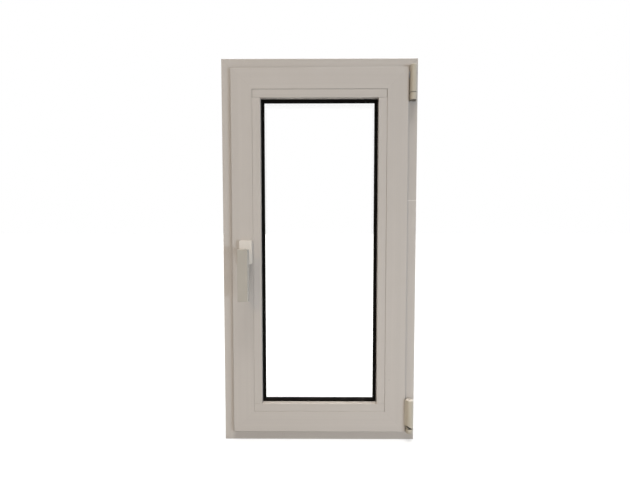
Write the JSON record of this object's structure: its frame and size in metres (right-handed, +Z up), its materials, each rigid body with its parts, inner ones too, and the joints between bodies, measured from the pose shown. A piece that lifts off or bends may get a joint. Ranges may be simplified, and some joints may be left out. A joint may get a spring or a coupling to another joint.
{
  "type": "tilt-and-turn casement window",
  "caption": "Tall narrow casement window: aluminium frame, glazed sash on exposed corner hinges, lever handle driving rods round the sash; turns or tilts inward.",
  "frame": {"origin": "centre of the sill's flat underside: middle of the width and of the frame's depth, at the bottom", "axes": "+X to the hinge side (right as seen from the room), +Y outdoors (the room side faces -Y), +Z up"},
  "size_m": [0.504, 0.131, 1],
  "materials": {
    "powder_coat_profile": "off-white powder coat, satin, faint texture",
    "painted_hardware": "off-white paint, smooth satin",
    "cast_cleat": "cast, dull",
    "zinc_casting": "zinc die casting, passivated",
    "plated_steel": "zinc-plated steel",
    "rubber_seal": "black EPDM, matt",
    "black_spacer": "black warm-edge spacer",
    "black_plastic": "black, matt",
    "white_plastic": "off-white moulded plastic",
    "glass": "clear float glass"
  },
  "bodies": {
    "frame": {"frame_sill": "powder_coat_profile", "frame_head": "powder_coat_profile", "frame_left_jamb": "powder_coat_profile", "frame_right_jamb": "powder_coat_profile", "frame_corner_cleat_top_left": "cast_cleat", "frame_corner_cleat_top_right": "cast_cleat", "frame_corner_cleat_bottom_left": "cast_cleat", "frame_corner_cleat_bottom_right": "cast_cleat", "frame_centre_seal": "rubber_seal", "drain_cap_left": "white_plastic", "drain_cap_right": "white_plastic", "keep_side_lower": "zinc_casting", "keep_side_upper": "zinc_casting", "keep_top": "zinc_casting", "keep_bottom": "zinc_casting", "top_hinge_bearing": "painted_hardware", "top_hinge_pin": "plated_steel", "bottom_hinge_bearing": "painted_hardware"},
    "turn_carrier": {"bottom_hinge_swivel": "plated_steel"},
    "sash": {"sash_bottom_rail": "powder_coat_profile", "sash_top_rail": "powder_coat_profile", "sash_left_stile": "powder_coat_profile", "sash_right_stile": "powder_coat_profile", "sash_corner_cleat_top_left": "cast_cleat", "sash_corner_cleat_top_right": "cast_cleat", "sash_corner_cleat_bottom_left": "cast_cleat", "sash_corner_cleat_bottom_right": "cast_cleat", "bead_left": "powder_coat_profile", "bead_right": "powder_coat_profile", "bead_bottom": "powder_coat_profile", "bead_top": "powder_coat_profile", "flap_seal": "rubber_seal", "flap_seal_hinge_side": "rubber_seal", "inner_glazing_gasket": "rubber_seal", "outer_glazing_gasket": "rubber_seal", "inner_pane": "glass", "outer_pane": "glass", "spacer_bar": "black_spacer", "setting_block_left": "black_plastic", "setting_block_right": "black_plastic", "bottom_hinge_pin": "plated_steel", "bottom_hinge_leaf": "plated_steel", "bottom_hinge_cover": "painted_hardware", "stay_guide": "zinc_casting", "corner_drive_top": "zinc_casting", "corner_drive_bottom": "zinc_casting", "gearbox_case_front": "zinc_casting", "gearbox_case_back": "zinc_casting", "handle_base_plate": "zinc_casting", "handle_cover": "painted_hardware", "handle_screw_upper": "plated_steel", "handle_screw_lower": "plated_steel"},
    "handle": {"handle_lever": "painted_hardware", "handle_spindle": "plated_steel", "drive_pinion": "plated_steel"},
    "side_rod": {"side_drive_rod": "plated_steel"},
    "top_rod": {"top_drive_rod": "plated_steel"},
    "bottom_rod": {"bottom_drive_rod": "plated_steel"},
    "stay": {"stay_arm": "plated_steel", "top_hinge_cover": "painted_hardware"}
  },
  "joints": [
    {"name": "sash_turn", "type": "hinge", "parent": "frame", "child": "turn_carrier", "pos_m": [0.2385, -0.041, 0.029], "axis": [0, 0, 1], "range_deg": [0, 90]},
    {"name": "sash_tilt", "type": "hinge", "parent": "turn_carrier", "child": "sash", "pos_m": [0.2385, -0.041, 0.029], "axis": [1, 0, 0], "range_deg": [0, 8]},
    {"name": "stay_arm_swing", "type": "hinge", "parent": "turn_carrier", "child": "stay", "pos_m": [0.2385, -0.041, 0.949], "axis": [0, 0, 1], "range_deg": [0, 27]},
    {"name": "handle_turn", "type": "hinge", "parent": "sash", "child": "handle", "pos_m": [-0.191, -0.041, 0.504], "axis": [0, -1, 0], "range_deg": [0, 180]},
    {"name": "side_rod_slide", "type": "slide", "parent": "sash", "child": "side_rod", "axis": [0, 0, -1], "range_m": [0, 0.0361]},
    {"name": "top_rod_slide", "type": "slide", "parent": "sash", "child": "top_rod", "axis": [-1, 0, 0], "range_m": [0, 0.0361]},
    {"name": "bottom_rod_slide", "type": "slide", "parent": "sash", "child": "bottom_rod", "axis": [1, 0, 0], "range_m": [0, 0.0361]}
  ],
  "couplings": [
    {"joint": "stay_arm_swing", "follows": "sash_tilt", "ratio": 3.33},
    {"joint": "side_rod_slide", "follows": "handle_turn", "m_per_rad": 0.011459},
    {"joint": "top_rod_slide", "follows": "handle_turn", "m_per_rad": 0.011459},
    {"joint": "bottom_rod_slide", "follows": "handle_turn", "m_per_rad": 0.011459}
  ]
}
